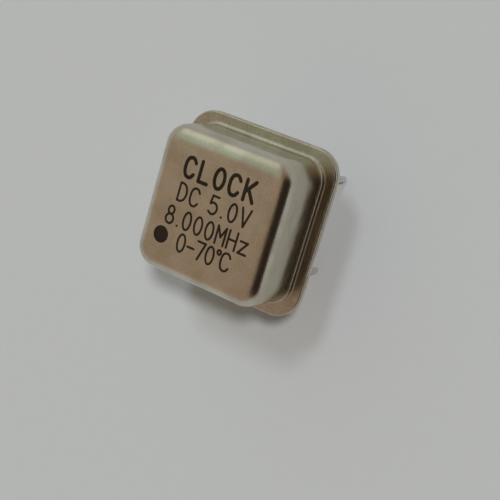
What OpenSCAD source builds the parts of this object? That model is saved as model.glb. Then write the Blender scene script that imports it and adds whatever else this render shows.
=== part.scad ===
// Half-size clock oscillator in a welded metal can, with four leads on a square grid.
// Millimetres. The origin is the centre of the seating plane, under the base.
// +X runs along the marking's reading direction, +Y up the marking, +Z out of the marked top.
// Lead numbers follow the eight-place grid: 1 by the dot, then 4, 5 and 8 anticlockwise from above.

/* [Cover] */
// Outside width of the drawn can, measured over its walls
can_width = 11.0; // [10.8:0.1:12.4]
// Height of the marked top above the seating plane
can_height = 5.6; // [4.8:0.1:6.5]
// Sheet thickness of the cover
sheet = 0.28; // [0.22:0.01:0.32]
// Radius of the can's four upright corners
corner_radius = 1.7; // [1.5:0.05:2.2]
// Radius of the rounded edge round the marked top
top_edge_radius = 1.1; // [0.7:0.05:1.4]
// Radius of the fillet where the wall turns out into the flange
foot_radius = 0.3; // [0.2:0.02:0.4]

/* [Flange] */
// How far the welded flange stands out from the can's wall
flange_reach = 0.95; // [0.75:0.05:1.3]
// Radius of three of the flange's corners
flange_corner_radius = 2.1; // [1.6:0.05:2.6]
// Radius of the nearly square corner that marks lead 1
key_corner_radius = 0.5; // [0.3:0.05:1.0]
// Rounding of the trimmed flange edges
edge_radius = 0.08; // [0.05:0.01:0.1]

/* [Base] */
// Thickness of the base at its flange
base_rim = 0.42; // [0.3:0.02:0.6]
// Height of the raised platform above the flange
platform_rise = 0.6; // [0.4:0.05:0.8]
// Gap between the platform and the inside of the cover
platform_gap = 0.12; // [0.08:0.02:0.2]

/* [Leads] */
// Distance between neighbouring leads
lead_pitch = 7.62; // [7.4:0.02:7.8]
// Diameter of the bare lead wire
lead_diameter = 0.46; // [0.4:0.02:0.52]
// Length of the leads below the seating plane
lead_length = 6.7; // [3:0.1:9]
// Thickness of the tin coat on the free leads
tin_coat = 0.015; // [0.01:0.005:0.03]
// Bare length of lead left between the base and the tin coat
tin_gap = 0.4; // [0.2:0.05:0.8]
// Chamfer on the cut lead tips
tip_chamfer = 0.08; // [0.04:0.02:0.14]
// Height of the lead posts above the substrate's printed film
post_rise = 0.45; // [0.4:0.05:0.8]

/* [Seals] */
// Diameter of the glass beads that insulate three of the leads
seal_diameter = 1.7; // [1.3:0.05:1.9]
// Depth of the hollow in each glass bead's two ends
seal_dip = 0.06; // [0.02:0.01:0.1]
// Width of the brazed ring round the earthed lead
braze_gap = 0.06; // [0.04:0.01:0.1]
// Radius of the fillet on the braze
braze_fillet = 0.16; // [0.1:0.02:0.2]

/* [Substrate] */
// Gap between the ceramic substrate and the inside of the cover
substrate_gap = 0.62; // [0.4:0.02:0.7]
// Thickness of the ceramic substrate
substrate_thickness = 0.5; // [0.38:0.02:0.64]
// Radius of the substrate's corners
substrate_corner_radius = 0.4; // [0.2:0.05:0.8]
// Thickness of the adhesive under the substrate
bond_line = 0.1; // [0.06:0.02:0.2]
// Width of the adhesive patch under the substrate
bond_width = 5.6; // [4:0.1:5.8]
// Clearance round each lead post in the substrate
post_clearance = 0.12; // [0.08:0.02:0.16]
// Thickness of the printed conductor film
film_thickness = 0.02; // [0.015:0.005:0.03]
// Width of the printed conductor tracks
track_width = 0.4; // [0.3:0.05:0.5]
// Least space between neighbouring conductors
film_space = 0.25; // [0.2:0.05:0.35]
// Width of the film ring round each post hole
post_land = 0.22; // [0.18:0.02:0.28]
// Fillet radius of the solder on the posts
solder_fillet = 0.26; // [0.18:0.02:0.28]
// Thickness left at the feathered edges of solder and braze
fillet_lip = 0.03; // [0.02:0.01:0.05]

/* [Oscillator chip] */
// Length of the chip along X
chip_length = 1.4; // [1.1:0.1:1.6]
// Width of the chip along Y
chip_width = 1.1; // [0.9:0.1:1.3]
// Thickness of the chip
chip_thickness = 0.3; // [0.2:0.02:0.4]
// Distance of the chip's centre from the middle of the can along Y
chip_offset = 0.45; // [0.3:0.05:0.6]
// Thickness of the adhesive under the chip
chip_bond = 0.03; // [0.02:0.01:0.05]
// Distance from the chip's edges to its bond pads
chip_pad_inset = 0.15; // [0.1:0.01:0.2]
// Width of the film left showing round the chip
chip_land = 0.3; // [0.2:0.05:0.4]
// Diameter of the bond wires
wire_diameter = 0.04; // [0.03:0.005:0.05]
// Rise of each bond wire's loop above its chord
wire_rise = 0.22; // [0.15:0.01:0.3]
// Diameter of the flattened bond at each wire end
bond_diameter = 0.13; // [0.11:0.01:0.16]
// Height of the flattened bond at each wire end
bond_height = 0.05; // [0.045:0.005:0.07]
// Width of the square film pads that the wires land on
landing = 0.5; // [0.4:0.05:0.6]

/* [Capacitor] */
// Length of the chip capacitor over its terminals
cap_length = 1.6; // [1.4:0.1:1.8]
// Width of the chip capacitor
cap_width = 0.8; // [0.6:0.05:0.9]
// Height of the chip capacitor
cap_height = 0.8; // [0.5:0.05:0.9]
// Length that each terminal wraps along the capacitor
cap_wrap = 0.35; // [0.25:0.05:0.45]
// Thickness of the capacitor's terminals
cap_terminal = 0.04; // [0.02:0.01:0.06]
// Distance of the capacitor's centre from the middle of the can along Y
cap_offset = 2.95; // [2.7:0.05:3.1]

/* [Crystal] */
// Frequency in megahertz, which sets the thickness of the quartz disc
frequency = 8; // [5:0.5:20]
// Diameter of the quartz disc
blank_diameter = 6.4; // [5.8:0.1:6.5]
// Diameter of the round part of each electrode
electrode_diameter = 3.6; // [3:0.1:4.2]
// Thickness of the electrodes
electrode_thickness = 0.01; // [0.008:0.001:0.015]
// Width of the tab that leads from each electrode to the disc's edge
tab_width = 0.8; // [0.5:0.05:1]
// Bare quartz left between each tab and the disc's edge
tab_margin = 0.12; // [0.08:0.02:0.2]
// Sheet thickness of the crystal's spring clips
clip_sheet = 0.1; // [0.08:0.01:0.12]
// Width of the clips along Y
clip_width = 1.2; // [1:0.1:1.4]
// Height of the clips' shelves above the printed film
clip_height = 1.2; // [1.05:0.05:1.5]
// Inside radius of the bends in the clips
clip_bend = 0.12; // [0.08:0.01:0.14]
// Distance from the disc's edge to the clip's riser
clip_gap = 0.2; // [0.18:0.01:0.24]
// How far each shelf reaches under the disc
shelf_reach = 0.6; // [0.5:0.05:0.7]
// Length of the clips' feet beyond the riser
foot_length = 0.8; // [0.6:0.05:0.85]
// Gap between shelf and disc that the adhesive fills
dab_gap = 0.03; // [0.02:0.01:0.05]
// Radius of the dabs of conductive adhesive
dab_radius = 0.35; // [0.32:0.01:0.36]
// How far the dabs reach past the disc's edge
dab_reach = 0.1; // [0.08:0.01:0.12]

/* [Hidden] */
$fn = 96;

// Thickness times frequency of a quartz disc that shears through its thickness, in mm MHz
quartz_constant = 1.661;
// Step that the quartz disc's thickness is rounded to
lapping_step = 0.001;
// How far cutters run past the faces that they cut
past = 1;

// Half widths
can_half = can_width / 2;
flange_half = can_half + flange_reach;
cavity_half = can_half - sheet;
platform_half = cavity_half - platform_gap;
substrate_half = cavity_half - substrate_gap;
lead_radius = lead_diameter / 2;
blank_radius = blank_diameter / 2;
post_hole_radius = lead_radius + post_clearance;

// Corner radii, anticlockwise from lead 5: leads 5, 8, 1 and 4
can_corners = [for (k = [0:3]) corner_radius];
opening_corners = [for (k = [0:3]) corner_radius + foot_radius];
flange_corners = [flange_corner_radius, flange_corner_radius, key_corner_radius, flange_corner_radius];
platform_corners = [for (k = [0:3]) corner_radius - sheet - platform_gap];
substrate_corners = [for (k = [0:3]) substrate_corner_radius];

// Heights, from the seating plane up
flange_top = base_rim + sheet;
base_top = base_rim + platform_rise;
bond_top = base_top + bond_line;
substrate_top = bond_top + substrate_thickness;
film_top = substrate_top + film_thickness;
post_top = film_top + post_rise;
chip_bottom = film_top + chip_bond;
chip_top = chip_bottom + chip_thickness;
shelf_top = film_top + clip_height;
blank_bottom = shelf_top + dab_gap;
blank_thickness = round(quartz_constant / frequency / lapping_step) * lapping_step;
blank_top = blank_bottom + blank_thickness;

// Places on the film: where wires land, and the columns that the tracks run along
supply_x = -cap_length / 2;
earth_x = cap_length / 2;
chip_land_x = chip_length / 2 + chip_land;
cap_land_x = earth_x + (cap_wrap + track_width) / 2;
landing_x = max(chip_land_x, cap_land_x) + film_space + landing / 2;
output_y = chip_offset + chip_width / 2;
supply_y = output_y + chip_land + film_space + landing / 2;
earth_y = chip_offset - chip_width / 2 - chip_land / 2;
clip_x = blank_radius + clip_gap;
clip_end = clip_x + clip_sheet + foot_length;

// Bond pads on the chip, each with the place on the film that its wire runs to
chip_x = chip_length / 2 - chip_pad_inset;
chip_low = chip_offset - chip_width / 2 + chip_pad_inset;
chip_high = chip_offset + chip_width / 2 - chip_pad_inset;
WIRES = [
    [[-chip_x, chip_low], [-landing_x, 0]],
    [[chip_x, chip_low], [landing_x, 0]],
    [[chip_x, chip_high], [landing_x, output_y]],
    [[-chip_x, chip_high], [supply_x, supply_y]],
    [[0, chip_low], [0, earth_y]],
];

// Place of a lead on the square grid: 1 and 8 on the left, 1 and 4 at the front
function lead_at(n) = lead_pitch / 2 * [n == 1 || n == 8 ? -1 : 1, n == 1 || n == 4 ? -1 : 1];

// Turn about Z that brings a piece made for the +X side to either side
function turn(side) = side > 0 ? 0 : 180;

// Radii lessened by one amount
function inset(radii, by) = [for (r = radii) r - by];

// Quarter of a disc in the first quadrant
module quarter_disc(r) {
    intersection() {
        circle(r);
        square(r);
    }
}

// Quarter of a flat ring in the first quadrant: a bend in a sheet, seen from its end
module bend(inside, thickness) {
    difference() {
        quarter_disc(inside + thickness);
        circle(inside);
    }
}

// Square outline with a radius of its own at each corner
module outline(half, radii) {
    for (k = [0:3]) {
        r = radii[k];
        next = radii[(k + 1) % 4];
        rotate(90 * k) {
            translate([half - r, half - r]) quarter_disc(r);
            polygon([
                [0, 0],
                [half - r, half - r],
                [half - r, half],
                [next - half, half],
                [next - half, half - next],
            ]);
        }
    }
}

// Carries a section round a square outline; the section's x is 0 at the outline and negative inside
module around(half, radii) {
    for (k = [0:3]) {
        r = radii[k];
        next = radii[(k + 1) % 4];
        rotate(90 * k) {
            translate([half - r, half - r, 0]) rotate_extrude(angle = 90) translate([r, 0]) children();
            translate([next - half, half, 0])
                rotate([90, 0, 90]) linear_extrude(2 * half - r - next) children();
        }
    }
}

// Plate with rounded rims, standing on z = 0
module trimmed_plate(half, radii, thickness) {
    linear_extrude(thickness) outline(half - edge_radius, inset(radii, edge_radius));
    around(half, radii) {
        translate([-edge_radius, edge_radius]) square([edge_radius, thickness - 2 * edge_radius]);
        translate([-edge_radius, thickness - edge_radius]) quarter_disc(edge_radius);
        translate([-edge_radius, edge_radius]) mirror([0, 1]) quarter_disc(edge_radius);
    }
}

// Section through the cover's wall, from the edge of the flat top down to the start of the flange
module wall_section() {
    translate([-top_edge_radius, can_height - top_edge_radius]) bend(top_edge_radius - sheet, sheet);
    wall_bottom = flange_top + foot_radius;
    translate([-sheet, wall_bottom]) square([sheet, can_height - top_edge_radius - wall_bottom]);
    translate([foot_radius, wall_bottom]) rotate(180) bend(foot_radius, sheet);
}

// Concave fillet section between a round post and a flat face, blunt at both feathered edges
module fillet_section(post, size) {
    reach = size + fillet_lip;
    translate([post, 0]) difference() {
        square(reach);
        translate([reach, reach]) circle(size);
    }
}

module cover() {
    color([0.66, 0.63, 0.56]) {
        around(can_half, can_corners) wall_section();
        translate([0, 0, can_height - sheet])
            linear_extrude(sheet) outline(can_half - top_edge_radius, inset(can_corners, top_edge_radius));
        difference() {
            translate([0, 0, base_rim]) trimmed_plate(flange_half, flange_corners, sheet);
            translate([0, 0, base_rim - past])
                linear_extrude(sheet + 2 * past) outline(can_half + foot_radius, opening_corners);
        }
    }
}

module base() {
    color([0.6, 0.57, 0.5]) difference() {
        union() {
            trimmed_plate(flange_half, flange_corners, base_rim);
            translate([0, 0, base_rim])
                linear_extrude(platform_rise) outline(platform_half, platform_corners);
        }
        for (n = [1, 5, 8]) translate(lead_at(n)) bore(seal_diameter / 2);
        translate(lead_at(4)) bore(lead_radius + braze_gap);
    }
}

// Hole right through the base
module bore(r) {
    translate([0, 0, -past]) cylinder(r = r, h = base_top + 2 * past);
}

// Round wire lead: tinned below the base, bare through its seal, and a post inside
module lead(n) {
    tinned = lead_radius + tin_coat;
    color([0.72, 0.71, 0.68]) translate(lead_at(n)) rotate_extrude() polygon([
        [0, -lead_length],
        [tinned - tip_chamfer, -lead_length],
        [tinned, tip_chamfer - lead_length],
        [tinned, -tin_gap],
        [lead_radius, -tin_gap],
        [lead_radius, post_top],
        [0, post_top],
    ]);
}

// Glass bead fused between a lead and the base, hollowed at both ends
module glass_seal(n) {
    seal_radius = seal_diameter / 2;
    half_span = (seal_radius - lead_radius) / 2;
    hollow = (half_span * half_span + seal_dip * seal_dip) / (2 * seal_dip);
    middle = lead_radius + half_span;
    color([0.2, 0.27, 0.25]) translate(lead_at(n)) rotate_extrude() difference() {
        translate([lead_radius, 0]) square([2 * half_span, base_top]);
        translate([middle, seal_dip - hollow]) circle(hollow);
        translate([middle, base_top - seal_dip + hollow]) circle(hollow);
    }
}

module earth_braze() {
    color([0.7, 0.66, 0.5]) translate(lead_at(4)) rotate_extrude() {
        translate([lead_radius, 0]) square([braze_gap, base_top]);
        translate([0, base_top]) fillet_section(lead_radius, braze_fillet);
    }
}

module substrate_adhesive() {
    color([0.75, 0.7, 0.5])
        translate([-bond_width / 2, -bond_width / 2, base_top]) cube([bond_width, bond_width, bond_line]);
}

module substrate() {
    color([0.93, 0.92, 0.88]) difference() {
        translate([0, 0, bond_top])
            linear_extrude(substrate_thickness) outline(substrate_half, substrate_corners);
        for (n = [1, 4, 5, 8])
            translate([each lead_at(n), bond_top - past])
                cylinder(r = post_hole_radius, h = substrate_thickness + 2 * past);
    }
}

// Straight track between two places that share a row or a column
module track(from, to) {
    low = [min(from.x, to.x), min(from.y, to.y)];
    high = [max(from.x, to.x), max(from.y, to.y)];
    rim = [track_width / 2, track_width / 2];
    translate(low - rim) square(high - low + 2 * rim);
}

// Square pad centred on a place
module pad(at, size) {
    translate(at) square(size, center = true);
}

module printed_film() {
    out = lead_at(5);
    supply = lead_at(8);
    earth = lead_at(4);
    chip_pad = [chip_length + 2 * chip_land, chip_width + 2 * chip_land];
    cap_pad = [cap_wrap + track_width, cap_width];
    clip_pad = [clip_end - clip_x, clip_width];
    color([0.7, 0.7, 0.68]) translate([0, 0, substrate_top]) linear_extrude(film_thickness) difference() {
        union() {
            for (n = [1, 4, 5, 8]) translate(lead_at(n)) circle(post_hole_radius + post_land);
            track(supply, [supply_x, supply.y]);
            track([supply_x, supply.y], [supply_x, supply_y]);
            pad([supply_x, cap_offset], cap_pad);
            pad([supply_x, supply_y], landing);
            track(earth, [0, earth.y]);
            track([0, earth.y], [0, chip_offset]);
            pad([0, chip_offset], chip_pad);
            track([earth_x, chip_offset], [earth_x, cap_offset]);
            pad([earth_x, cap_offset], cap_pad);
            track(out, [landing_x, out.y]);
            track([landing_x, out.y], [landing_x, output_y]);
            pad([landing_x, output_y], landing);
            for (side = [-1, 1]) {
                pad([side * (clip_x + clip_end) / 2, 0], clip_pad);
                track([side * landing_x, 0], [side * clip_x, 0]);
                pad([side * landing_x, 0], landing);
            }
        }
        for (n = [1, 4, 5, 8]) translate(lead_at(n)) circle(post_hole_radius);
    }
}

module post_solder(n) {
    color([0.75, 0.75, 0.74]) translate([each lead_at(n), film_top])
        rotate_extrude() fillet_section(lead_radius, solder_fillet);
}

module chip_adhesive() {
    color([0.6, 0.6, 0.6]) translate([-chip_length / 2, chip_offset - chip_width / 2, film_top])
        cube([chip_length, chip_width, chip_bond]);
}

module oscillator_chip() {
    color([0.3, 0.32, 0.38]) translate([-chip_length / 2, chip_offset - chip_width / 2, chip_bottom])
        cube([chip_length, chip_width, chip_thickness]);
}

// Wire looped from the chip down to the film, with a flattened bond at each end
module bond_wire(from, to) {
    step = to - from;
    drop = chip_top - film_top;
    chord = norm([norm(step), drop]);
    loop_radius = (chord * chord / 4 + wire_rise * wire_rise) / (2 * wire_rise);
    sweep = 2 * atan(2 * wire_rise / chord);
    translate([each from, chip_top]) cylinder(d = bond_diameter, h = bond_height);
    translate([each to, film_top]) cylinder(d = bond_diameter, h = bond_height);
    translate([each from, chip_top + bond_height / 2])
        rotate([0, atan2(drop, norm(step)), atan2(step.y, step.x)])
        translate([chord / 2, 0, wire_rise - loop_radius])
        rotate([90, 0, 0]) rotate(90 - sweep)
        rotate_extrude(angle = 2 * sweep) translate([loop_radius, 0]) circle(d = wire_diameter);
}

module bond_wires() {
    color([0.85, 0.7, 0.35]) for (w = WIRES) bond_wire(w[0], w[1]);
}

// Block of the capacitor's own size, standing on the film, less a skin on every side
module cap_block(length, skin) {
    translate([-length / 2, cap_offset - cap_width / 2 + skin, film_top + skin])
        cube([length, cap_width - 2 * skin, cap_height - 2 * skin]);
}

module capacitor_body() {
    color([0.62, 0.5, 0.38]) cap_block(cap_length - 2 * cap_terminal, cap_terminal);
}

// Metal cap wrapped over one end of the capacitor
module capacitor_terminal(side) {
    color([0.78, 0.78, 0.76]) difference() {
        intersection() {
            cap_block(cap_length, 0);
            translate([side > 0 ? cap_length / 2 - cap_wrap : -cap_length / 2, -can_half, 0])
                cube([cap_wrap, can_width, can_height]);
        }
        cap_block(cap_length - 2 * cap_terminal, cap_terminal);
    }
}

// Section of a bent clip: foot on the film, riser, and a shelf turned in under the disc
module clip_section() {
    corner = clip_sheet + clip_bend;
    translate([corner, corner]) rotate(180) bend(clip_bend, clip_sheet);
    translate([corner, 0]) square([foot_length - clip_bend, clip_sheet]);
    translate([0, corner]) square([clip_sheet, clip_height - 2 * corner]);
    translate([-clip_bend, clip_height - corner]) bend(clip_bend, clip_sheet);
    translate([-clip_gap - shelf_reach, clip_height - clip_sheet])
        square([clip_gap + shelf_reach - clip_bend, clip_sheet]);
}

module clip(side) {
    color([0.72, 0.7, 0.62]) rotate(turn(side)) translate([clip_x, clip_width / 2, film_top])
        rotate([90, 0, 0]) linear_extrude(clip_width) clip_section();
}

module crystal_blank() {
    color([0.85, 0.88, 0.9])
        translate([0, 0, blank_bottom]) cylinder(r = blank_radius, h = blank_thickness);
}

// Round film with a tab out towards the disc's edge on one side
module electrode(side, level) {
    color([0.88, 0.87, 0.83]) rotate(turn(side)) translate([0, 0, level])
        linear_extrude(electrode_thickness) {
            circle(d = electrode_diameter);
            translate([0, -tab_width / 2]) square([blank_radius - tab_margin, tab_width]);
        }
}

module upper_electrode() {
    electrode(1, blank_top);
}

module lower_electrode() {
    electrode(-1, blank_bottom - electrode_thickness);
}

// Dab of conductive adhesive round the disc's edge, standing on the clip's shelf
module adhesive_dab(side) {
    middle = (blank_bottom + blank_top) / 2;
    color([0.7, 0.69, 0.66]) difference() {
        rotate(turn(side)) translate([blank_radius + dab_reach - dab_radius, 0, 0])
            rotate_extrude() intersection() {
                translate([0, middle]) circle(dab_radius);
                translate([0, shelf_top]) square(2 * dab_radius);
            }
        crystal_blank();
        if (side > 0) upper_electrode();
        if (side < 0) lower_electrode();
    }
}

cover();
base();
lead(1);  // lead_1
lead(4);  // lead_4
lead(5);  // lead_5
lead(8);  // lead_8
glass_seal(1);  // glass_seal_1
glass_seal(5);  // glass_seal_5
glass_seal(8);  // glass_seal_8
earth_braze();
substrate_adhesive();
substrate();
printed_film();
post_solder(1);  // post_solder_1
post_solder(4);  // post_solder_4
post_solder(5);  // post_solder_5
post_solder(8);  // post_solder_8
chip_adhesive();
oscillator_chip();
bond_wires();
capacitor_body();
capacitor_terminal(-1);  // capacitor_terminal_supply
capacitor_terminal(1);  // capacitor_terminal_earth
clip(-1);  // clip_left
clip(1);  // clip_right
crystal_blank();
upper_electrode();
lower_electrode();
adhesive_dab(-1);  // adhesive_dab_left
adhesive_dab(1);  // adhesive_dab_right
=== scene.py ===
"""Looks of a half-size clock oscillator: drawn can, base, tinned leads, marking and sealed inside.

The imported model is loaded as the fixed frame. New pieces are surfaces worked out with numpy in the
frame's own metres, and every node that is carried over gets a finish of its own.
"""

import math

import bpy
import numpy as np
from mathutils import Matrix, Vector


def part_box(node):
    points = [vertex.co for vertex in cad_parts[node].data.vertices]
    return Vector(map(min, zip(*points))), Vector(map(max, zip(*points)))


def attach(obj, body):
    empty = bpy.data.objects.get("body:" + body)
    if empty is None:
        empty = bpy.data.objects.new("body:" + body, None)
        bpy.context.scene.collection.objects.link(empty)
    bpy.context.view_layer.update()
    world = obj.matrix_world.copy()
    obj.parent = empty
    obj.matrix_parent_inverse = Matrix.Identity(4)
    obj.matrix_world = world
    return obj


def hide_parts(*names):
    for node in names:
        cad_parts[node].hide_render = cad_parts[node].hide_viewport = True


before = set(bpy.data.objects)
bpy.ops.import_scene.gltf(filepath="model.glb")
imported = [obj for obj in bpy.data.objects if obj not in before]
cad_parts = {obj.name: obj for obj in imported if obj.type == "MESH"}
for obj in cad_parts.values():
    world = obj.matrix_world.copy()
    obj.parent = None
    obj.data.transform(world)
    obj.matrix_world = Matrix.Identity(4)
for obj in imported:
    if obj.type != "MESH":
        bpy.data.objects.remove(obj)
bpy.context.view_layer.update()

bl_info = {
    "name": "Clock oscillator",
    "version": (1, 0, 0),
    "blender": (4, 5, 0),
    "location": "3D View > Sidebar > Oscillator",
    "description": "Dresses a welded metal-can oscillator and sets its stage",
    "category": "Object",
}

MM = 0.001

COVER_LOW, COVER_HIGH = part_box("cover")
LEAD_LOW, LEAD_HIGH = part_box("lead_1")
LEAD_NAMES = ("lead_1", "lead_4", "lead_5", "lead_8")

# Points in each rounded corner and along each straight side of a ring round the can
CORNER_STEPS = 25
SIDE_STEPS = 30

# Power of the sine and cosine along the top edge; 1 is a circle, and less starts more gently
EDGE_POWER = 0.77


# Settings

class CanSettings(bpy.types.PropertyGroup):
    """Sizes and colours of the drawn cover"""

    half_width: bpy.props.FloatProperty(
        name="Half width", description="Half of the can's width over its walls",
        default=5.5 * MM, unit="LENGTH", precision=5)
    corner: bpy.props.FloatProperty(
        name="Corner radius", description="Radius of the upright corners",
        default=1.7 * MM, unit="LENGTH", precision=5)
    top_edge: bpy.props.FloatProperty(
        name="Top edge radius", description="Radius of the edge round the marked top",
        default=1.1 * MM, unit="LENGTH", precision=5)
    edge_reach: bpy.props.FloatProperty(
        name="Edge reach", description="How far in from the wall the rounding of the top edge starts",
        default=1.4 * MM, unit="LENGTH", precision=5)
    foot: bpy.props.FloatProperty(
        name="Foot radius", description="Radius where the wall turns out into the flange",
        default=0.3 * MM, unit="LENGTH", precision=5)
    sheet: bpy.props.FloatProperty(
        name="Sheet", description="Thickness of the sheet metal",
        default=0.28 * MM, unit="LENGTH", precision=5)
    flange_half: bpy.props.FloatProperty(
        name="Flange half width", description="Half of the flange's width",
        default=COVER_HIGH.x, unit="LENGTH", precision=5)
    flange_corner: bpy.props.FloatProperty(
        name="Flange corner radius", description="Radius of three of the flange's corners",
        default=2.1 * MM, unit="LENGTH", precision=5)
    key_corner: bpy.props.FloatProperty(
        name="Key corner radius", description="Radius of the nearly square corner at lead 1",
        default=0.5 * MM, unit="LENGTH", precision=5)
    rim: bpy.props.FloatProperty(
        name="Rim radius", description="Rounding of the flange's trimmed edge",
        default=0.13 * MM, unit="LENGTH", precision=5)
    dome: bpy.props.FloatProperty(
        name="Dome", description="How far the middle of the marked top stands proud",
        default=0.03 * MM, unit="LENGTH", precision=6)
    ripple: bpy.props.FloatProperty(
        name="Ripple", description="Height of the slow waves that drawing leaves in the sheet",
        default=0.007 * MM, unit="LENGTH", precision=6)
    plate: bpy.props.FloatVectorProperty(
        name="Plate", description="Colour of the nickel plate",
        default=(0.65, 0.60, 0.502), subtype="COLOR", min=0, max=1)
    stain: bpy.props.FloatVectorProperty(
        name="Stain", description="Colour of the plate where it has dulled",
        default=(0.545, 0.49, 0.398), subtype="COLOR", min=0, max=1)


class LeadSettings(bpy.types.PropertyGroup):
    """Sizes and colours of the wire leads"""

    wire: bpy.props.FloatProperty(
        name="Wire radius", description="Radius of the bare wire",
        default=0.23 * MM, unit="LENGTH", precision=6)
    coat: bpy.props.FloatProperty(
        name="Tin coat", description="Thickness of the tin on the free length",
        default=0.015 * MM, unit="LENGTH", precision=6)
    bare: bpy.props.FloatProperty(
        name="Bare length", description="Length left bare under the base",
        default=0.4 * MM, unit="LENGTH", precision=5)
    tin: bpy.props.FloatVectorProperty(
        name="Tin", description="Colour of the tin coat",
        default=(0.74, 0.73, 0.70), subtype="COLOR", min=0, max=1)


class MarkingSettings(bpy.types.PropertyGroup):
    """Sizes and colour of the printed marking"""

    ink: bpy.props.FloatVectorProperty(
        name="Ink", description="Colour of the marking ink",
        default=(0.016, 0.010, 0.006), subtype="COLOR", min=0, max=1)
    thickness: bpy.props.FloatProperty(
        name="Ink thickness", description="How far the ink stands above the plate",
        default=0.012 * MM, unit="LENGTH", precision=6)
    stroke: bpy.props.FloatProperty(
        name="Stroke", description="Width of the pen strokes",
        default=0.19 * MM, unit="LENGTH", precision=5)
    dot: bpy.props.FloatProperty(
        name="Dot diameter", description="Diameter of the dot by lead 1",
        default=1.28 * MM, unit="LENGTH", precision=5)


class StageSettings(bpy.types.PropertyGroup):
    """Floor, light and camera"""

    floor: bpy.props.FloatVectorProperty(
        name="Floor", description="Colour of the floor",
        default=(0.47, 0.47, 0.47), subtype="COLOR", min=0, max=1)
    floor_radius: bpy.props.FloatProperty(
        name="Floor radius", description="How far the floor reaches",
        default=4.0, unit="LENGTH")
    light: bpy.props.FloatProperty(
        name="Light", description="Strength of both soft lights",
        default=1.0, min=0)
    lens: bpy.props.FloatProperty(
        name="Lens", description="Focal length on a 36 mm frame",
        default=82.25, subtype="DISTANCE_CAMERA")


# Surfaces

def rings(half, radii, height):
    """Grid of points: a ring round the square outline for each half width, set of corner radii and height.

    Corner k is a quarter circle about (half - r, half - r), turned by k quarter turns; straight runs
    join the corners. Columns run anticlockwise, and rows follow the section.
    """
    half = np.asarray(half, float)[:, None, None]
    r = np.asarray(radii, float)[:, :, None]
    arc = np.exp(1j * np.linspace(0, np.pi / 2, CORNER_STEPS))
    turn = (1j ** np.arange(4))[None, :, None]
    corners = ((half - r) * (1 + 1j) + r * arc) * turn
    start, end = corners[:, :, -1:], np.roll(corners, -1, axis=1)[:, :, :1]
    run = np.linspace(0, 1, SIDE_STEPS + 2)[1:-1]
    sides = start + (end - start) * run
    flat = np.concatenate([corners, sides], axis=2).reshape(len(half), -1)
    tall = np.broadcast_to(np.asarray(height, float)[:, None], flat.shape)
    return np.stack([flat.real, flat.imag, tall], -1)


def grid_faces(rows, columns):
    """Quads of a grid that closes on itself along its columns, facing out where rows x columns does."""
    row = np.arange(rows - 1)[:, None] * columns
    column = np.arange(columns)[None, :]
    after = (column + 1) % columns
    corners = (row + column, row + columns + column, row + columns + after, row + after)
    return np.stack(corners, -1).reshape(-1, 4)


def closed_shell(points):
    """Vertices and faces of a grid of rings, with a fan to the middle of its first and last ring."""
    rows, columns = points.shape[:2]
    first, last = points[0].mean(0), points[-1].mean(0)
    vertices = np.concatenate([points.reshape(-1, 3), [first, last]])
    column = np.arange(columns)
    after = (column + 1) % columns
    top = rows * columns
    end = top - columns
    start_fan = np.stack([np.full(columns, top), column, after], -1)
    end_fan = np.stack([np.full(columns, top + 1), end + after, end + column], -1)
    return vertices, grid_faces(rows, columns).tolist() + start_fan.tolist() + end_fan.tolist()


def closed_tube(points):
    """Vertices and faces of a grid of rings whose last ring joins its first."""
    rows, columns = points.shape[:2]
    faces = grid_faces(rows + 1, columns) % (rows * columns)
    return points.reshape(-1, 3), faces.tolist()


def ripple(points, wavelength, height, seed):
    """Slow waves over the surface: the sum of seven plane waves with seeded directions and phases."""
    draw = np.random.default_rng(seed)
    waves = draw.normal(size=(7, 3))
    waves *= 2 * np.pi / wavelength / np.linalg.norm(waves, axis=1, keepdims=True)
    phases = draw.uniform(0, 2 * np.pi, 7)
    return height * np.sin(points @ waves.T + phases).sum(-1) / np.sqrt(7)


def outward(points):
    """Unit normals of a grid of rings: the step along the rows crossed with the step along the columns."""
    down = np.gradient(points, axis=0)
    along = np.roll(points, -1, axis=1) - np.roll(points, 1, axis=1)
    normal = np.cross(down, along)
    return normal / np.maximum(np.linalg.norm(normal, axis=-1, keepdims=True), 1e-15)


def place(name, vertices, faces, material, slot, *nodes):
    """Makes a piece from its vertices and faces, which rides on the part and stands for the named nodes."""
    mesh = bpy.data.meshes.new(name)
    mesh.from_pydata(np.asarray(vertices).tolist(), [], faces)
    mesh.shade_smooth()
    made = bpy.data.objects.new(name, mesh)
    bpy.context.scene.collection.objects.link(made)
    mesh.materials.append(material)
    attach(made, "root")
    if nodes:
        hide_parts(*nodes)
    return made


def flange_radii(can):
    """Corner radii of the flange, anticlockwise from lead 5; the corner at lead 1 is nearly square."""
    return np.array([can.flange_corner, can.flange_corner, can.key_corner, can.flange_corner])


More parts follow.
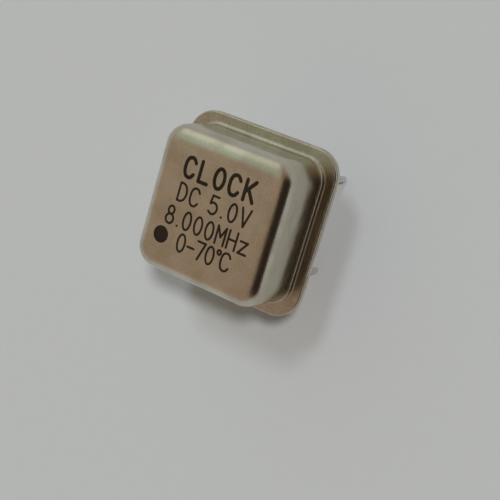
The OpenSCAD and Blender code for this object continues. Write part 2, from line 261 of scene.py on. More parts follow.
def cover_section(can):
    """Rows of the cover's shell as (half width, corner radii, height), from the middle of the marked top
    over the rounded edge, down the wall, out along the flange, and back up inside. The top edge is the arc
    where the two distances from its middle, each to the power 2 / EDGE_POWER, add up to one, so it starts
    without a break in its curve."""
    top, flange_low = COVER_HIGH.z, COVER_LOW.z
    flange_top = flange_low + can.sheet
    trim = flange_radii(can)
    rows = []

    def add(half, radii, height):
        half, height = np.broadcast_arrays(np.atleast_1d(half), np.atleast_1d(height))
        radii = np.broadcast_to(np.asarray(radii), (len(half), 4))
        rows.append(np.column_stack([half, radii, height]))

    def round_can(offset, height):
        offset = np.atleast_1d(offset)
        add(can.half_width + offset, np.repeat(can.corner + offset, 4).reshape(-1, 4), height)

    def flat_top(inset, height, shares, crown):
        half, radius = can.half_width - inset, can.corner - inset
        shares = np.asarray(shares)
        tall = height + crown * (1 - shares ** 2) ** 2
        add(half * shares, np.repeat(radius * shares, 4).reshape(-1, 4), tall)

    def flange(shares, height):
        shares = np.asarray(shares)[:, None]
        inner = np.array([can.half_width + can.foot, *[can.corner + can.foot] * 4])
        outer = np.array([can.flange_half - can.rim, *(trim - can.rim)])
        mixed = inner + (outer - inner) * shares
        add(mixed[:, 0], mixed[:, 1:], height)

    def rim(turn, height):
        offset = can.rim * (np.sin(turn) - 1)
        add(can.flange_half + offset, trim + offset[:, None], height + can.rim * np.cos(turn))

    quarter = np.linspace(0, np.pi / 2, 17)
    edge_low, wall_low = top - can.top_edge, flange_top + can.foot
    flat_top(can.edge_reach, top, np.linspace(0.06, 0.99, 16), can.dome)
    turn = np.linspace(0, np.pi / 2, 33)
    across, down = np.sin(turn) ** EDGE_POWER, np.cos(turn).clip(0) ** EDGE_POWER
    round_can(can.edge_reach * (across - 1), top + can.edge_reach * (down - 1))
    round_can(0, np.linspace(top - can.edge_reach, wall_low, 14)[1:-1])
    round_can(can.foot * (1 - np.cos(quarter)), wall_low - can.foot * np.sin(quarter))
    flange([0.04, 0.3, 0.65, 0.97], flange_top)
    rim(np.linspace(0, np.pi / 2, 7), flange_top - can.rim)
    rim(np.linspace(np.pi / 2, np.pi, 7), flange_low + can.rim)
    flange([0.97, 0.5, 0.04], flange_low)
    outside = can.foot + can.sheet
    back = quarter[::-2]
    round_can(can.foot - outside * np.cos(back), wall_low - outside * np.sin(back))
    round_can(-can.sheet, np.linspace(wall_low, edge_low, 6)[1:-1])
    inside = can.top_edge - can.sheet
    round_can(inside * np.sin(back) - can.top_edge, edge_low + inside * np.cos(back))
    flat_top(can.top_edge, top - can.sheet, np.linspace(0.99, 0.06, 6), can.dome)
    return np.concatenate(rows)


def sheet_waves(can, points):
    """Height of the drawn sheet's slow waves at the points."""
    return ripple(points, 3.4 * MM, can.ripple, 11)


def marked_top(can, x, y):
    """Height of the marked top at a place: flat, with the sheet's slow waves and a crown that falls off as
    the square outline grows."""
    share = np.maximum(np.abs(x), np.abs(y)) / (can.half_width - can.edge_reach)
    tall = COVER_HIGH.z + can.dome * np.clip(1 - share ** 2, 0, 1) ** 2
    return tall + sheet_waves(can, np.stack([x, y, tall], -1))


def seam_bead(can):
    """Grid of the weld's squeezed bead: a small circle carried round the flange, its radius wavering."""
    inset, bead_radius, waver = 0.055 * MM, 0.042 * MM, 0.006 * MM
    half = can.flange_half - inset
    path = rings([half], [flange_radii(can) - inset], [COVER_LOW.z])[0]
    step = np.roll(path, -1, axis=0) - np.roll(path, 1, axis=0)
    step /= np.linalg.norm(step, axis=1, keepdims=True)
    out = np.stack([step[:, 1], -step[:, 0], np.zeros(len(path))], -1)
    size = bead_radius + ripple(path, 0.9 * MM, waver, 5)
    around = np.linspace(0, 2 * np.pi, 10, endpoint=False)
    ring = out[:, None] * np.cos(around)[:, None] + np.array([0, 0, 1]) * np.sin(around)[:, None]
    return path[:, None] + ring * size[:, None, None]


def lead_skin(lead, middle, seed):
    """Grid of a wire lead as a surface of revolution: a dome-edged cut tip, the tin coat with its slow
    waver and a drop-shaped swelling near the tip, a feathered end to the coat, then bare wire."""
    tip, end = LEAD_LOW.z, LEAD_HIGH.z
    chamfer, fade, columns = 0.08 * MM, 0.16 * MM, 28
    drop_height, drop_place, drop_length = 0.012 * MM, 0.5 * MM, 0.35 * MM
    waver_length, waver_height, lengthwise = 0.5 * MM, 0.0022 * MM, 0.35
    tip_face = 0.92
    turn = np.linspace(0, np.pi / 2, 7)
    body = np.linspace(tip + chamfer, -lead.bare - 0.2 * MM, 46)[1:]
    feather = np.linspace(-lead.bare - fade, -lead.bare, 8)
    bare = np.linspace(-lead.bare + 0.05 * MM, end, 10)
    z = np.concatenate([tip + chamfer * (1 - np.cos(turn)), body, feather, bare])
    tinned = lead.wire + lead.coat
    share = np.clip((-lead.bare - z) / fade, 0, 1)
    radius = lead.wire + lead.coat * share * share * (3 - 2 * share)
    radius[:len(turn)] = tinned - chamfer * (1 - np.sin(turn))
    swell = drop_height * np.exp(-((z - tip - drop_place) / drop_length) ** 2)
    around = np.linspace(0, 2 * np.pi, columns, endpoint=False)
    unit = np.stack([np.cos(around), np.sin(around)], -1)
    core = np.stack([tinned * np.broadcast_to(unit[:, 0], (len(z), columns)),
                     tinned * np.broadcast_to(unit[:, 1], (len(z), columns)),
                     np.broadcast_to(z[:, None], (len(z), columns)) * lengthwise], -1)
    waver = ripple(core, waver_length, waver_height, seed) * share[:, None]
    size = (radius + swell * share)[:, None] + waver
    size[0] *= tip_face
    x = middle[0] + size * unit[:, 0]
    y = middle[1] + size * unit[:, 1]
    tall = np.broadcast_to(z[:, None], x.shape)
    return np.stack([x, y, tall], -1)[:, ::-1]


# Pen strokes of the marking, on a letter one high: "line" joins its points, "bow" curves through them,
# and "loop" is an ellipse given by its middle and half axes
GLYPHS = {
    "C": [("bow", (.57, .80), (.45, .96), (.29, 1.0), (.13, .92), (.04, .70), (.03, .5), (.04, .30),
           (.13, .08), (.29, .0), (.45, .04), (.57, .20))],
    "D": [("line", (.05, 0), (.05, 1)),
          ("bow", (.05, 1), (.28, .99), (.47, .84), (.56, .5), (.47, .16), (.28, .01), (.05, 0))],
    "H": [("line", (.05, 0), (.05, 1)), ("line", (.56, 0), (.56, 1)), ("line", (.05, .52), (.56, .52))],
    "K": [("line", (.05, 0), (.05, 1)), ("line", (.55, 1), (.05, .38)), ("line", (.22, .59), (.58, 0))],
    "L": [("line", (.05, 1), (.05, 0), (.54, 0))],
    "M": [("line", (.04, 0), (.04, 1), (.31, .42), (.58, 1), (.58, 0))],
    "O": [("loop", (.30, .5), (.27, .5))],
    "V": [("line", (.02, 1), (.30, 0), (.58, 1))],
    "z": [("line", (.07, .66), (.53, .66), (.06, 0), (.55, 0))],
    "0": [("loop", (.30, .5), (.24, .5))],
    "5": [("line", (.52, 1), (.12, 1), (.08, .56)),
          ("bow", (.08, .56), (.27, .64), (.47, .56), (.56, .33), (.47, .09), (.27, .0), (.06, .10))],
    "7": [("line", (.05, 1), (.56, 1), (.24, 0))],
    "8": [("loop", (.30, .77), (.19, .23)), ("loop", (.30, .27), (.25, .27))],
    "-": [("line", (.08, .46), (.50, .46))],
    ".": [("line", (.12, .03), (.13, .03))],
    "*": [("loop", (.16, .88), (.11, .12))],
    " ": [],
}

# Widths of the narrow characters; the others are as wide as LETTER_WIDTH
LETTER_WIDTH = 0.61
NARROW = {".": 0.25, "*": 0.30, " ": 0.30, "-": 0.56}

# Rows of the marking: name, words, left end, right end, base line and letter height in millimetres, and
# how much wider than the plain stroke its strokes are
MARKING_ROWS = (
    ("row_use", "CLOCK", -2.95, 3.05, 1.95, 1.45, 1.6),
    ("row_supply", "DC 5.0V", -2.95, 3.25, 0.12, 1.30, 1.0),
    ("row_frequency", "8.000MHz", -3.45, 3.75, -1.72, 1.30, 1.0),
    ("row_warmth", "0-70*C", -1.95, 2.70, -3.38, 1.30, 1.0),
)
# How much wider each further stroke of a letter is, so that no two edges lie on one another
STROKE_STEP = 0.012
DOT_PLACE = (-3.41 * MM, -2.71 * MM)


def curve_through(points, steps):
    """Smooth path through the points: on each span the cubic whose slopes are half the step between the
    points on either side."""
    p = np.asarray(points, float)
    p = np.concatenate([[2 * p[0] - p[1]], p, [2 * p[-1] - p[-2]]])
    t = np.linspace(0, 1, steps, endpoint=False)[None, :, None]
    a, b, c, d = (p[i:len(p) - 3 + i][:, None] for i in range(4))
    spans = b + 0.5 * t * (c - a + t * (2 * a - 5 * b + 4 * c - d + t * (3 * (b - c) + d - a)))
    return np.concatenate([spans.reshape(-1, 2), p[-2:-1]])


def stroke_paths(letter):
    """Paths of one letter's pen strokes, each with whether it closes on itself. A straight stroke is cut at
    each of its corners, and a loop is an ellipse."""
    for kind, *points in GLYPHS[letter]:
        if kind == "line":
            yield from ((np.array(pair, float), False) for pair in zip(points[:-1], points[1:]))
        elif kind == "bow":
            yield curve_through(points, 6), False
        else:
            (cx, cy), (rx, ry) = points
            turn = np.linspace(0, 2 * np.pi, 40, endpoint=False)
            yield np.stack([cx + rx * np.cos(turn), cy + ry * np.sin(turn)], -1), True


def ink_stroke(can, path, closed, width, thickness):
    """Shell of one stroke of ink: a low half-ellipse carried along the path. An open path gets half-round
    ends, where the width shrinks as the root of one minus the square of the distance past the end."""
    share = np.ones(len(path))
    if closed:
        along = np.roll(path, -1, axis=0) - np.roll(path, 1, axis=0)
    else:
        leg = np.diff(path, axis=0)
        along = np.concatenate([leg[:1], leg[:-1] + leg[1:], leg[-1:]])
    along /= np.linalg.norm(along, axis=1, keepdims=True)
    if not closed:
        past = np.sin(np.linspace(np.pi / 2, 0, 6))[:-1]
        before = path[0] - along[0] * past[:, None] * width / 2
        beyond = path[-1] + along[-1] * past[::-1, None] * width / 2
        end = np.maximum(np.sqrt(1 - past ** 2), 0.02)
        path = np.concatenate([before, path, beyond])
        first, last = np.repeat(along[:1], len(past), 0), np.repeat(along[-1:], len(past), 0)
        along = np.concatenate([first, along, last])
        share = np.concatenate([end, share, end[::-1]])
    side = np.stack([along[:, 1], -along[:, 0]], -1)
    turn = np.linspace(0, np.pi, 7)
    across = np.cos(turn)[None, :, None] * (share * width / 2)[:, None, None]
    flat = path[:, None] + side[:, None] * across
    sunk = 0.008 * MM
    rise = np.sqrt(np.sin(turn).clip(0))[None] * np.sqrt(share)[:, None] * (thickness + sunk) - sunk
    tall = marked_top(can, flat[..., 0], flat[..., 1]) + rise
    shell = np.concatenate([flat, tall[..., None]], -1)
    return closed_tube(shell) if closed else closed_shell(shell)


def row_shells(can, marking, words, left, right, base, high, weight):
    """Shells of one row's strokes, its letters spread evenly from the row's left end to its right end."""
    widths = high * np.array([NARROW.get(letter, LETTER_WIDTH) for letter in words])
    gap = (right - left - widths.sum()) / (len(words) - 1)
    starts = left + np.cumsum(widths + gap) - widths - gap
    for start, letter in zip(starts, words):
        corner = np.array([start, base])
        for count, (path, closed) in enumerate(stroke_paths(letter)):
            at = (corner + path * high) * MM
            width = marking.stroke * weight * (1 + STROKE_STEP * count)
            yield ink_stroke(can, at, closed, width, marking.thickness)


def dot_grid(can, marking):
    """Grid of the dot: circles from its middle to its rim, where the ink falls to just under the plate."""
    share = np.array([0.3, 0.6, 0.85, 0.96, 1.0, 1.0])[:, None]
    level = np.array([1.0, 1.0, 1.0, 0.8, 0.0, -0.7])[:, None]
    turn = np.linspace(0, 2 * np.pi, 48, endpoint=False)[None]
    x = DOT_PLACE[0] + share * marking.dot / 2 * np.cos(turn)
    y = DOT_PLACE[1] + share * marking.dot / 2 * np.sin(turn)
    tall = marked_top(can, x, y) + level * marking.thickness
    return np.stack([x, y, tall], -1)


def gather(shells):
    """One list of vertices and faces from several shells."""
    vertices, faces, count = [], [], 0
    for points, polygons in shells:
        vertices.append(points)
        faces += [[i + count for i in polygon] for polygon in polygons]
        count += len(points)
    return np.concatenate(vertices), faces


# Shader groups and finishes

def put(tree, kind, *links, **values):
    """Adds a node; links are (input, socket or value) pairs and values are the node's own settings."""
    node = tree.nodes.new(kind)
    for name, value in values.items():
        setattr(node, name, value)
    for name, value in links:
        if isinstance(value, bpy.types.NodeSocket):
            tree.links.new(value, node.inputs[name])
        else:
            node.inputs[name].default_value = value
    return node


def new_group(name, inputs, outputs):
    """Empty shader group with its sockets; returns the tree, its input sockets and its output node."""
    tree = bpy.data.node_groups.new(name, "ShaderNodeTree")
    for label, kind, default in inputs:
        socket = tree.interface.new_socket(label, in_out="INPUT", socket_type=kind)
        if default is not None:
            socket.default_value = default
    for label, kind in outputs:
        tree.interface.new_socket(label, in_out="OUTPUT", socket_type=kind)
    return tree, tree.nodes.new("NodeGroupInput").outputs, tree.nodes.new("NodeGroupOutput")


def fill(tree, exit_node, **sockets):
    """Links sockets to the group's outputs by name."""
    for name, socket in sockets.items():
        tree.links.new(socket, exit_node.inputs[name])


def maths(tree, operation, a, b):
    """Result of a sum on two sockets or values."""
    return put(tree, "ShaderNodeMath", (0, a), (1, b), operation=operation).outputs[0]


def ramp(tree, value, low, high, to_low=0.0, to_high=1.0):
    """Maps a value from one span to another, held at both ends."""
    node = put(tree, "ShaderNodeMapRange", ("Value", value), ("From Min", low), ("From Max", high),
               ("To Min", to_low), ("To Max", to_high), interpolation_type="SMOOTHSTEP")
    return node.outputs["Result"]


def blend(tree, share, a, b):
    """Colour between a and b, which are sockets or values; a share of one gives b."""
    node = put(tree, "ShaderNodeMix", (0, share), (6, a), (7, b), data_type="RGBA")
    return node.outputs[2]


def dimmed(colour, share):
    """The colour at a share of its strength, with full alpha."""
    return (*(share * c for c in colour), 1)


def grain_group():
    """Fine grain of a plated or cast surface: speckle over a slower unevenness, in millimetres."""
    tree, given, out = new_group(
        "Surface grain",
        [("Place", "NodeSocketVector", None), ("Grains per mm", "NodeSocketFloat", 12.0)],
        [("Height", "NodeSocketFloat"), ("Tone", "NodeSocketFloat")])
    fine = put(tree, "ShaderNodeTexNoise", ("Vector", given["Place"]), ("Scale", given["Grains per mm"]),
               ("Detail", 3.0), ("Roughness", 0.6))
    slow = put(tree, "ShaderNodeTexNoise", ("Vector", given["Place"]), ("Scale", 0.55), ("Detail", 4.0))
    speck = put(tree, "ShaderNodeTexVoronoi", ("Vector", given["Place"]), ("Scale", given["Grains per mm"]))
    dimples = maths(tree, "MULTIPLY", speck.outputs["Distance"], 0.35)
    height = maths(tree, "ADD", fine.outputs["Fac"], dimples)
    fill(tree, out, Height=height, Tone=ramp(tree, slow.outputs["Fac"], 0.35, 0.68))
    return tree


# Levels in millimetres above the seating plane: where the wall's look fades in at its foot and out at its
# top, and where the flange's look fades out
WALL_FOOT = (1.1, 1.6)
WALL_TOP = (5.0, 4.4)
FLANGE_END = (1.0, 0.75)


def marks_group():
    """Marks of drawing and handling, namely fine lines round the piece, long dull streaks on the wall and a
    few small pits, and masks of the wall between foot and top edge and of the coarser flange below it, which
    also say where painted shade goes."""
    tree, given, out = new_group(
        "Handling marks",
        [("Place", "NodeSocketVector", None), ("Lines per mm", "NodeSocketFloat", 9.0)],
        [("Lines", "NodeSocketFloat"), ("Wall", "NodeSocketFloat"), ("Streaks", "NodeSocketFloat"),
         ("Flange", "NodeSocketFloat"), ("Pits", "NodeSocketFloat")])
    drawn = put(tree, "ShaderNodeMapping", ("Vector", given["Place"]), ("Scale", (0.05, 0.05, 1.0)))
    lines = put(tree, "ShaderNodeTexNoise", ("Vector", drawn.outputs[0]), ("Scale", given["Lines per mm"]),
                ("Detail", 5.0), ("Roughness", 0.7))
    pulled = put(tree, "ShaderNodeMapping", ("Vector", given["Place"]), ("Scale", (0.035, 0.035, 1.0)))
    rubbed = put(tree, "ShaderNodeTexNoise", ("Vector", pulled.outputs[0]), ("Scale", 10.0),
                 ("Detail", 3.0))
    level = put(tree, "ShaderNodeSeparateXYZ", (0, given["Place"])).outputs[2]
    wall = maths(tree, "MULTIPLY", ramp(tree, level, *WALL_FOOT), ramp(tree, level, *WALL_TOP))
    streaks = maths(tree, "MULTIPLY", ramp(tree, rubbed.outputs["Fac"], 0.52, 0.68), wall)
    cells = put(tree, "ShaderNodeTexVoronoi", ("Vector", given["Place"]), ("Scale", 0.9))
    rare = put(tree, "ShaderNodeSeparateColor", ("Color", cells.outputs["Color"]))
    pits = maths(tree, "MULTIPLY", ramp(tree, cells.outputs["Distance"], 0.036, 0.014),
                 ramp(tree, rare.outputs[0], 0.70, 0.74))
    fill(tree, out, Lines=lines.outputs["Fac"], Wall=wall, Streaks=streaks,
         Flange=ramp(tree, level, *FLANGE_END), Pits=pits)
    return tree


class Finishes:
    """Materials of the part, each made once; the shared groups are built first."""

    def __init__(self):
        self.grain = grain_group()
        self.marks = marks_group()
        self.made = {}

    def start(self, name):
        """New material with its shader and the place on the piece in millimetres."""
        material = bpy.data.materials.new(name)
        material.use_nodes = True
        tree = material.node_tree
        shader = tree.nodes["Principled BSDF"]
        where = put(tree, "ShaderNodeTexCoord").outputs["Object"]
        place_mm = put(tree, "ShaderNodeMapping", ("Vector", where), ("Scale", (1 / MM,) * 3)).outputs[0]
        self.made[name] = material
        return material, tree, shader, place_mm

    def use(self, tree, group, place_mm, amount):
        """Outputs of a shared group at the place, with its grains or lines per millimetre."""
        node = put(tree, "ShaderNodeGroup", node_tree=group)
        tree.links.new(place_mm, node.inputs["Place"])
        node.inputs[1].default_value = amount
        return node.outputs

    def bump(self, tree, shader, height, distance):
        """Tilts the shader's normal by a height between nought and one, which is the distance high."""
        made = put(tree, "ShaderNodeBump", ("Height", height), ("Strength", 1.0), ("Distance", distance))
        tree.links.new(made.outputs[0], shader.inputs["Normal"])

    def metal(self, name, clean, stain, rough, grains, depth, lines=0.0, drawn=False):
        """Plated or bare metal: stained in slow clouds, rougher where stained, with grain, lines and pits.
        A drawn can also has a smoother wall, darkened and tinted there as painted shade, with streaks, and a
        gritty flange whose specks are darkened partly as painted shade. rough is the roughness of clean and
        of stained places, grains the grains per millimetre and depth the grain's height."""
        material, tree, shader, at = self.start(name)
        shader.inputs["Metallic"].default_value = 1.0
        grain = self.use(tree, self.grain, at, grains)
        marks = self.use(tree, self.marks, at, 9.0)
        fleck = maths(tree, "MULTIPLY", maths(tree, "SUBTRACT", grain["Height"], 0.65), 1.5)
        plain = blend(tree, maths(tree, "ADD", grain["Tone"], fleck), (*clean, 1), (*stain, 1))
        height = grain["Height"]
        if drawn:
            height = maths(tree, "MULTIPLY", height, ramp(tree, marks["Flange"], 0, 1, 1, 1.8))
            height = maths(tree, "MULTIPLY", height, ramp(tree, marks["Wall"], 0, 1, 1, 0.35))
            # Gritty specks on the flange, darkened: partly the flange's real grit, partly painted shade
            # standing for the shade round the flange
            grit_and_shade = maths(tree, "MULTIPLY", marks["Flange"], ramp(tree, grain["Height"], 0.45, 0.8))
            plain = blend(tree, maths(tree, "MULTIPLY", grit_and_shade, 0.3), plain, dimmed(clean, 0.4))
            # Painted shade: the wall between foot and top edge is darkened and tinted to stand for the
            # shaded floor that it reflects
            wall_shade = [c * share for c, share in zip(stain, (0.88, 0.90, 0.84))]
            plain = blend(tree, maths(tree, "MULTIPLY", marks["Wall"], 0.8), plain, (*wall_shade, 1))
            plain = blend(tree, maths(tree, "MULTIPLY", marks["Streaks"], 0.46), plain, dimmed(clean, 0.35))
        pitted = blend(tree, marks["Pits"], plain, (0.14, 0.12, 0.10, 1))
        tree.links.new(pitted, shader.inputs["Base Color"])
        rough_low, rough_high = rough
        tree.links.new(ramp(tree, grain["Tone"], 0, 1, rough_low, rough_high), shader.inputs["Roughness"])
        height = maths(tree, "ADD", height, maths(tree, "MULTIPLY", marks["Lines"], lines))
        self.bump(tree, shader, maths(tree, "SUBTRACT", height, marks["Pits"]), depth)
        return material

    def matt(self, name, light, dark, rough, grains, depth, **sockets):
        """Ceramic, adhesive, ink or chip: two tones mixed by the slow clouds, with grain."""
        material, tree, shader, at = self.start(name)
        grain = self.use(tree, self.grain, at, grains)
        tree.links.new(blend(tree, grain["Tone"], (*light, 1), (*dark, 1)), shader.inputs["Base Color"])
        rough_low, rough_high = rough
        roughness = ramp(tree, grain["Height"], 0.3, 0.9, rough_low, rough_high)
        tree.links.new(roughness, shader.inputs["Roughness"])
        self.bump(tree, shader, grain["Height"], depth)
        for label, value in sockets.items():
            shader.inputs[label.replace("_", " ")].default_value = value
        return material


# Finishes by name, filled at the first call of finish
FINISHES = {}


def finish(name):
    """A finish by name; the shared groups and all finishes are made at the first call."""
    if not FINISHES:
        scene = bpy.context.scene
        can, lead, marking = scene.oscillator_can, scene.oscillator_leads, scene.oscillator_marking
        made = Finishes()
        made.metal("Nickel plate", can.plate, can.stain, (0.18, 0.25), 9.0, 0.0075 * MM, 0.2, True)
        made.metal("Base plate", can.plate, can.stain, (0.28, 0.4), 10.0, 0.0008 * MM, 0.2)
        made.metal("Welded seam", (0.36, 0.32, 0.27), (0.2, 0.17, 0.15), (0.4, 0.55), 25.0, 0.002 * MM)
        made.metal("Tinned wire", lead.tin, (0.6, 0.59, 0.57), (0.22, 0.36), 22.0, 0.001 * MM, 0.3)
        made.metal("Silver braze", (0.74, 0.68, 0.52), (0.6, 0.52, 0.38), (0.3, 0.45), 30.0, 0.0015 * MM)
        made.metal("Printed silver film", (0.72, 0.71, 0.68), (0.6, 0.58, 0.54), (0.45, 0.6), 40.0,
                   0.002 * MM)
        made.metal("Solder", (0.76, 0.76, 0.75), (0.62, 0.62, 0.62), (0.18, 0.34), 26.0, 0.001 * MM)
        made.metal("Gold wire", (0.9, 0.68, 0.32), (0.82, 0.58, 0.25), (0.15, 0.25), 40.0, 0.0005 * MM)
        made.metal("Terminal tin", (0.78, 0.77, 0.75), (0.66, 0.65, 0.63), (0.3, 0.45), 35.0, 0.001 * MM)
        made.metal("Spring alloy", (0.72, 0.69, 0.6), (0.62, 0.58, 0.48), (0.2, 0.32), 18.0,
                   0.0006 * MM, 0.6)
        made.metal("Electrode silver", (0.9, 0.89, 0.86), (0.82, 0.79, 0.72), (0.12, 0.2), 30.0,
                   0.0002 * MM)
        made.matt("Seal glass", (0.05, 0.085, 0.075), (0.02, 0.04, 0.036), (0.08, 0.2), 9.0, 0.001 * MM,
                  Coat_Weight=0.4)
        made.matt("Epoxy", (0.76, 0.7, 0.5), (0.66, 0.58, 0.36), (0.3, 0.5), 12.0, 0.002 * MM)
        made.matt("Alumina", (0.9, 0.89, 0.85), (0.84, 0.83, 0.78), (0.55, 0.75), 34.0, 0.002 * MM)
        made.matt("Silver adhesive", (0.66, 0.65, 0.62), (0.5, 0.49, 0.47), (0.4, 0.6), 40.0, 0.003 * MM)
        made.matt("Chip silicon", (0.12, 0.13, 0.17), (0.06, 0.07, 0.1), (0.1, 0.2), 60.0, 0.0004 * MM,
                  Coat_Weight=0.6)
        made.matt("Capacitor ceramic", (0.55, 0.42, 0.3), (0.44, 0.33, 0.22), (0.35, 0.55), 30.0,
                  0.002 * MM)
        made.matt("Quartz", (0.86, 0.89, 0.9), (0.8, 0.84, 0.86), (0.2, 0.34), 40.0, 0.0005 * MM,
                  Transmission_Weight=1.0, IOR=1.54)
        made.matt("Marking ink", marking.ink, [0.6 * c for c in marking.ink], (0.42, 0.6), 20.0, 0.002 * MM,
                  Specular_IOR_Level=0.25)
        FINISHES.update(made.made)
    return FINISHES[name]


# Operators

class OSCILLATOR_OT_cover(bpy.types.Operator):
    """Makes the drawn cover: one shell carried round the can, with a slight crown and slow waves"""

    bl_idname = "oscillator.cover"
    bl_label = "Make the cover"

    def execute(self, context):
        can = context.scene.oscillator_can
        rows = cover_section(can)
        points = rings(rows[:, 0], rows[:, 1:5], rows[:, 5])
        points = points + outward(points) * sheet_waves(can, points)[..., None]
        place("can_cover", *closed_shell(points), finish("Nickel plate"), "can", "cover")
        return {"FINISHED"}


class OSCILLATOR_OT_seam(bpy.types.Operator):
    """Makes the weld's bead in the groove between the two layers of the flange"""

    bl_idname = "oscillator.seam"
    bl_label = "Make the welded seam"

    def execute(self, context):
        bead = seam_bead(context.scene.oscillator_can)
        place("weld_seam", *closed_tube(bead), finish("Welded seam"), "can")
        return {"FINISHED"}


class OSCILLATOR_OT_leads(bpy.types.Operator):
    """Makes the four tinned wire leads"""

    bl_idname = "oscillator.leads"
    bl_label = "Make the leads"

    def execute(self, context):
        for seed, name in enumerate(LEAD_NAMES):
            low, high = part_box(name)
            skin = lead_skin(context.scene.oscillator_leads, (low + high) / 2, 40 + seed)
            place("wire_" + name, *closed_shell(skin), finish("Tinned wire"), "lead_wire", name)
        return {"FINISHED"}


class OSCILLATOR_OT_marking(bpy.types.Operator):
    """Prints the rows of the marking and the dot by lead 1 on the can's top"""

    bl_idname = "oscillator.marking"
    bl_label = "Print the marking"

    def execute(self, context):
        can, marking = context.scene.oscillator_can, context.scene.oscillator_marking
        ink = finish("Marking ink")
        for name, *row in MARKING_ROWS:
            place("marking_" + name, *gather(row_shells(can, marking, *row)), ink, "print_ink")
        place("marking_dot", *closed_shell(dot_grid(can, marking)), ink, "print_ink")
        return {"FINISHED"}


# Finish of each node that is carried over
NODE_FINISHES = {
    "base": "Base plate",
    "glass_seal_1": "Seal glass",
    "glass_seal_5": "Seal glass",
    "glass_seal_8": "Seal glass",
    "earth_braze": "Silver braze",
    "substrate_adhesive": "Epoxy",
    "substrate": "Alumina",
    "printed_film": "Printed silver film",
    "post_solder_1": "Solder",
    "post_solder_4": "Solder",
    "post_solder_5": "Solder",
    "post_solder_8": "Solder",
    "chip_adhesive": "Silver adhesive",
    "oscillator_chip": "Chip silicon",
    "bond_wires": "Gold wire",
    "capacitor_body": "Capacitor ceramic",
    "capacitor_terminal_supply": "Terminal tin",
    "capacitor_terminal_earth": "Terminal tin",
    "clip_left": "Spring alloy",
    "clip_right": "Spring alloy",
    "crystal_blank": "Quartz",
    "upper_electrode": "Electrode silver",
    "lower_electrode": "Electrode silver",
    "adhesive_dab_left": "Silver adhesive",
    "adhesive_dab_right": "Silver adhesive",
}


class OSCILLATOR_OT_finish_nodes(bpy.types.Operator):
    """Gives the base, the seals and every piece inside the can its finish"""

    bl_idname = "oscillator.finish_nodes"
    bl_label = "Finish the base and the inside"

    def execute(self, context):
        bare = set(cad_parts) - set(NODE_FINISHES) - {"cover", *LEAD_NAMES}
        if bare:
            raise RuntimeError("No finish for " + ", ".join(sorted(bare)))
        for name, look in NODE_FINISHES.items():
            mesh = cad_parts[name].data
            mesh.materials.clear()
            mesh.materials.append(finish(look))
        return {"FINISHED"}


# Grey of the horizon, and patches of the studio's walls, ceiling and ground over it: direction, the cosines
# where the patch starts and is whole, and colour
HORIZON = (0.46, 0.468, 0.462)
SKY_PATCHES = (
    ((0, 0, 1), 0.15, 0.60, (0.366, 0.282, 0.215)),
    ((-0.45, 0.45, 0.77), 0.80, 0.965, (0.485, 0.565, 0.475)),
    ((-0.43, 0.73, 0.53), 0.86, 0.995, (0.74, 0.78, 0.69)),
    ((0.78, -0.10, 0.62), 0.62, 0.935, (0.029, 0.020, 0.013)),
    ((0, 0, -1), -0.12, -0.02, HORIZON),
)

# Two soft lights: name, direction in which it shines, strength, colour and how wide it looks in degrees
LIGHTS = (
    ("Key", (-0.410, -0.363, -0.837), 1.86, (0.95, 0.98, 1.0), 6),
    ("Window", (-0.034, -0.508, -0.861), 0.80, (0.78, 0.92, 1.0), 9),
)

# Camera fitted to the photograph: place in millimetres, and its right, up and back directions
CAMERA_PLACE = (38.777, 17.013, 74.582)
CAMERA_AXES = ((0.8258, 0.2781, -0.4906), (-0.3540, 0.9328, -0.0672), (0.4390, 0.2292, 0.8688))


def paint_sky(scene):
    """World colour as a function of direction: the horizon's grey with soft patches laid over it."""
    world = bpy.data.worlds.new("Studio")
    scene.world = world
    world.use_nodes = True
    tree = world.node_tree
    way = put(tree, "ShaderNodeTexCoord").outputs["Generated"]
    colour = (*HORIZON, 1)
    for direction, start, whole, shade in SKY_PATCHES:
        unit = Vector(direction).normalized()
        near = put(tree, "ShaderNodeVectorMath", (0, way), (1, unit), operation="DOT_PRODUCT")
        share = ramp(tree, near.outputs["Value"], start, whole)
        colour = blend(tree, share, colour, (*shade, 1))
    tree.links.new(colour, tree.nodes["Background"].inputs["Color"])


def lay_floor(scene):
    """Round floor at the lead tips: rings whose radius shrinks as a square towards a fan in the middle."""
    stage = scene.oscillator_stage
    material = bpy.data.materials.new("Pale floor")
    material.use_nodes = True
    tree = material.node_tree
    shader = tree.nodes["Principled BSDF"]
    where = put(tree, "ShaderNodeTexCoord").outputs["Object"]
    fibre = put(tree, "ShaderNodeTexNoise", ("Vector", where), ("Scale", 900.0), ("Detail", 4.0))
    tone = blend(tree, fibre.outputs["Fac"], (*stage.floor, 1), dimmed(stage.floor, 0.97))
    tree.links.new(tone, shader.inputs["Base Color"])
    shader.inputs["Roughness"].default_value = 0.9
    shader.inputs["Specular IOR Level"].default_value = 0.1
    rows, columns = 12, 96
    radius = stage.floor_radius * np.linspace(1, 0.01, rows)[:, None] ** 2
    turn = np.linspace(0, 2 * np.pi, columns, endpoint=False)[None]
    level = np.full((rows, columns), LEAD_LOW.z)
    flat = np.stack([radius * np.cos(turn), radius * np.sin(turn), level], -1)
    vertices = np.concatenate([flat.reshape(-1, 3), [[0, 0, LEAD_LOW.z]]])
    column = np.arange(columns)
    last = (rows - 1) * columns
    fan = np.stack([np.full(columns, rows * columns), last + column, last + (column + 1) % columns], -1)
    mesh = bpy.data.meshes.new("floor")
    mesh.from_pydata(vertices.tolist(), [], grid_faces(rows, columns)[:, ::-1].tolist() + fan.tolist())
    mesh.materials.append(material)
    floor = bpy.data.objects.new("floor", mesh)
    scene.collection.objects.link(floor)


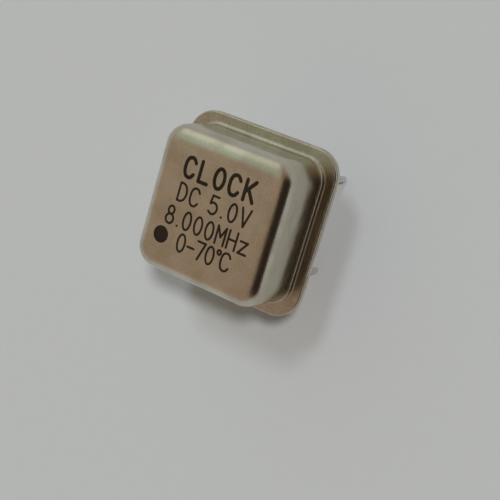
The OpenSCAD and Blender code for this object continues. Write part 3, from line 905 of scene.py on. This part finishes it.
def hang_lights(scene):
    """Soft lights from far away, which leave no spot of their own in the metal."""
    for name, direction, strength, colour, angle in LIGHTS:
        lamp = bpy.data.lights.new(name, "SUN")
        lamp.energy = strength * scene.oscillator_stage.light
        lamp.color = colour
        lamp.angle = math.radians(angle)
        light = bpy.data.objects.new(name, lamp)
        light.rotation_euler = Vector(direction).to_track_quat("-Z", "Y").to_euler()
        light.visible_glossy = False
        scene.collection.objects.link(light)


def aim_camera(scene):
    """Camera at the photograph's viewing angle."""
    lens = bpy.data.cameras.new("Camera")
    lens.lens = scene.oscillator_stage.lens
    lens.sensor_width = 36.0
    lens.clip_start, lens.clip_end = 0.001, 100.0
    camera = bpy.data.objects.new("Camera", lens)
    turned = Matrix(CAMERA_AXES).transposed().to_4x4()
    camera.matrix_world = Matrix.Translation(Vector(CAMERA_PLACE) * MM) @ turned
    scene.collection.objects.link(camera)
    scene.camera = camera


class OSCILLATOR_OT_stage(bpy.types.Operator):
    """Lays the floor under the lead tips and sets the light and the camera"""

    bl_idname = "oscillator.stage"
    bl_label = "Set the stage"

    def execute(self, context):
        lay_floor(context.scene)
        paint_sky(context.scene)
        hang_lights(context.scene)
        aim_camera(context.scene)
        context.scene.view_settings.view_transform = "Standard"
        return {"FINISHED"}


class OSCILLATOR_PT_build(bpy.types.Panel):
    """Lists the pieces and the stage in the order that they are made"""

    bl_idname = "OSCILLATOR_PT_build"
    bl_label = "Clock oscillator"
    bl_space_type = "VIEW_3D"
    bl_region_type = "UI"
    bl_category = "Oscillator"

    def draw(self, context):
        for operator in OPERATORS:
            self.layout.operator(operator.bl_idname)
        for name, group in SETTINGS.items():
            box = self.layout.box()
            for field in group.__annotations__:
                box.prop(getattr(context.scene, name), field)


OPERATORS = (
    OSCILLATOR_OT_cover,
    OSCILLATOR_OT_seam,
    OSCILLATOR_OT_leads,
    OSCILLATOR_OT_marking,
    OSCILLATOR_OT_finish_nodes,
    OSCILLATOR_OT_stage,
)
SETTINGS = {
    "oscillator_can": CanSettings,
    "oscillator_leads": LeadSettings,
    "oscillator_marking": MarkingSettings,
    "oscillator_stage": StageSettings,
}
CLASSES = (*SETTINGS.values(), *OPERATORS, OSCILLATOR_PT_build)


def register():
    """Registers the classes and hangs the settings on the scene."""
    for made in CLASSES:
        bpy.utils.register_class(made)
    for name, group in SETTINGS.items():
        setattr(bpy.types.Scene, name, bpy.props.PointerProperty(type=group))


def unregister():
    """Takes the settings and the classes away again and forgets the finishes."""
    FINISHES.clear()
    for name in SETTINGS:
        delattr(bpy.types.Scene, name)
    for made in reversed(CLASSES):
        bpy.utils.unregister_class(made)


def main():
    """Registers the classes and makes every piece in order."""
    register()
    bpy.ops.oscillator.cover()
    bpy.ops.oscillator.seam()
    bpy.ops.oscillator.leads()
    bpy.ops.oscillator.marking()
    bpy.ops.oscillator.finish_nodes()
    bpy.ops.oscillator.stage()


if __name__ == "__main__":
    main()
